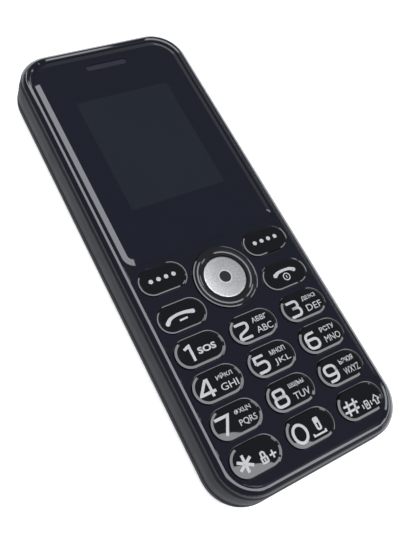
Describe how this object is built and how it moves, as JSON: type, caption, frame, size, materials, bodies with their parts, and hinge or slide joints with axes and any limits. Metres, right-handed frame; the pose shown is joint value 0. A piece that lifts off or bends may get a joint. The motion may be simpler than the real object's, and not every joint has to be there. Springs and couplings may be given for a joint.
{
  "type": "mobile phone",
  "caption": "Bar-shaped key phone with a bevelled display lens, domed keypad, rocking navigation ring and pull-off battery cover.",
  "frame": {"origin": "middle of the back, where the phone rests, at its lowest point", "axes": "+Z out of the face, +Y along the phone towards the earpiece, +X to the right of the face"},
  "size_m": [0.051, 0.1272, 0.0135],
  "materials": {
    "face_plastic": "polished",
    "side_plastic": "satin",
    "cover_plastic": "satin",
    "lens": "polished",
    "key_plastic": "polished",
    "ring_plastic": "polished",
    "silver_disc": "brushed",
    "rubber_mat": "matte",
    "pad_rubber": "matte",
    "adhesive": "matte",
    "mesh": "woven",
    "black_part": "moulded",
    "white_part": "moulded",
    "panel": "polished",
    "flex": "film",
    "dome_steel": "pressed",
    "board": "solder mask",
    "pressed_steel": "pressed",
    "contact_metal": "plated",
    "lamp": "moulded",
    "clear_plastic": "polished",
    "camera_glass": "polished",
    "weight_metal": "sintered",
    "cell": "wrapped",
    "screw_steel": "zinc"
  },
  "bodies": {
    "phone": {"front_housing": "face_plastic", "display_lens": "lens", "lens_adhesive": "adhesive", "earpiece_mesh": "mesh", "earpiece_receiver": "black_part", "lcd_panel": "panel", "lcd_backlight": "white_part", "lcd_tray": "black_part", "lcd_flex": "flex", "keypad_mat": "rubber_mat", "dome_sheet": "dome_steel", "keypad_leds": "lamp", "main_board": "board", "shield_cans": "pressed_steel", "microphone": "pressed_steel", "headphone_jack": "black_part", "usb_port": "pressed_steel", "torch_led": "lamp", "torch_lens": "clear_plastic", "camera_module": "black_part", "loudspeaker": "black_part", "vibration_motor": "pressed_steel", "antenna": "contact_metal", "rear_housing": "side_plastic", "housing_screws": "screw_steel", "sim_socket_left": "pressed_steel", "sim_socket_right": "pressed_steel", "memory_card_socket": "pressed_steel", "battery_connector": "black_part", "battery_contacts": "contact_metal", "battery": "cell"},
    "key_1": {"key_1": "key_plastic"},
    "key_2": {"key_2": "key_plastic"},
    "key_3": {"key_3": "key_plastic"},
    "key_4": {"key_4": "key_plastic"},
    "key_5": {"key_5": "key_plastic"},
    "key_6": {"key_6": "key_plastic"},
    "key_7": {"key_7": "key_plastic"},
    "key_8": {"key_8": "key_plastic"},
    "key_9": {"key_9": "key_plastic"},
    "key_star": {"key_star": "key_plastic"},
    "key_0": {"key_0": "key_plastic"},
    "key_hash": {"key_hash": "key_plastic"},
    "soft_key_left": {"soft_key_left": "key_plastic"},
    "soft_key_right": {"soft_key_right": "key_plastic"},
    "call_key": {"call_key": "key_plastic"},
    "end_key": {"end_key": "key_plastic"},
    "ok_key": {"ok_key": "silver_disc"},
    "nav_pad": {"nav_pad": "pad_rubber"},
    "nav_ring": {"nav_ring": "ring_plastic"},
    "motor_weight": {"motor_weight": "weight_metal"},
    "battery_cover": {"battery_cover": "cover_plastic", "camera_window": "camera_glass"}
  },
  "joints": [
    {"name": "key_1_press", "type": "slide", "parent": "phone", "child": "key_1", "axis": [0, 0, -1], "range_m": [0, 0.00025], "stiffness_N_per_m": 2000},
    {"name": "key_2_press", "type": "slide", "parent": "phone", "child": "key_2", "axis": [0, 0, -1], "range_m": [0, 0.00025], "stiffness_N_per_m": 2000},
    {"name": "key_3_press", "type": "slide", "parent": "phone", "child": "key_3", "axis": [0, 0, -1], "range_m": [0, 0.00025], "stiffness_N_per_m": 2000},
    {"name": "key_4_press", "type": "slide", "parent": "phone", "child": "key_4", "axis": [0, 0, -1], "range_m": [0, 0.00025], "stiffness_N_per_m": 2000},
    {"name": "key_5_press", "type": "slide", "parent": "phone", "child": "key_5", "axis": [0, 0, -1], "range_m": [0, 0.00025], "stiffness_N_per_m": 2000},
    {"name": "key_6_press", "type": "slide", "parent": "phone", "child": "key_6", "axis": [0, 0, -1], "range_m": [0, 0.00025], "stiffness_N_per_m": 2000},
    {"name": "key_7_press", "type": "slide", "parent": "phone", "child": "key_7", "axis": [0, 0, -1], "range_m": [0, 0.00025], "stiffness_N_per_m": 2000},
    {"name": "key_8_press", "type": "slide", "parent": "phone", "child": "key_8", "axis": [0, 0, -1], "range_m": [0, 0.00025], "stiffness_N_per_m": 2000},
    {"name": "key_9_press", "type": "slide", "parent": "phone", "child": "key_9", "axis": [0, 0, -1], "range_m": [0, 0.00025], "stiffness_N_per_m": 2000},
    {"name": "key_star_press", "type": "slide", "parent": "phone", "child": "key_star", "axis": [0, 0, -1], "range_m": [0, 0.00025], "stiffness_N_per_m": 2000},
    {"name": "key_0_press", "type": "slide", "parent": "phone", "child": "key_0", "axis": [0, 0, -1], "range_m": [0, 0.00025], "stiffness_N_per_m": 2000},
    {"name": "key_hash_press", "type": "slide", "parent": "phone", "child": "key_hash", "axis": [0, 0, -1], "range_m": [0, 0.00025], "stiffness_N_per_m": 2000},
    {"name": "soft_key_left_press", "type": "slide", "parent": "phone", "child": "soft_key_left", "axis": [0, 0, -1], "range_m": [0, 0.00025], "stiffness_N_per_m": 2000},
    {"name": "soft_key_right_press", "type": "slide", "parent": "phone", "child": "soft_key_right", "axis": [0, 0, -1], "range_m": [0, 0.00025], "stiffness_N_per_m": 2000},
    {"name": "call_key_press", "type": "slide", "parent": "phone", "child": "call_key", "axis": [0, 0, -1], "range_m": [0, 0.00025], "stiffness_N_per_m": 2000},
    {"name": "end_key_press", "type": "slide", "parent": "phone", "child": "end_key", "axis": [0, 0, -1], "range_m": [0, 0.00025], "stiffness_N_per_m": 2000},
    {"name": "ok_key_press", "type": "slide", "parent": "phone", "child": "ok_key", "axis": [0, 0, -1], "range_m": [0, 0.00025], "stiffness_N_per_m": 2000},
    {"name": "nav_tilt_up_down", "type": "hinge", "parent": "phone", "child": "nav_pad", "pos_m": [0, -0.01432, 0.01045], "axis": [1, 0, 0], "range_deg": [-1.5, 1.5], "stiffness_Nm_per_rad": 0.4},
    {"name": "nav_tilt_left_right", "type": "hinge", "parent": "nav_pad", "child": "nav_ring", "pos_m": [0, -0.01432, 0.01045], "axis": [0, 1, 0], "range_deg": [-1.5, 1.5], "stiffness_Nm_per_rad": 0.4},
    {"name": "motor_spin", "type": "hinge", "parent": "phone", "child": "motor_weight", "pos_m": [0.017, 0.0323, 0.0053], "axis": [0, 1, 0], "continuous": true},
    {"name": "cover_removal", "type": "slide", "parent": "phone", "child": "battery_cover", "axis": [0, 0, -1], "range_m": [0, 0.02]}
  ]
}
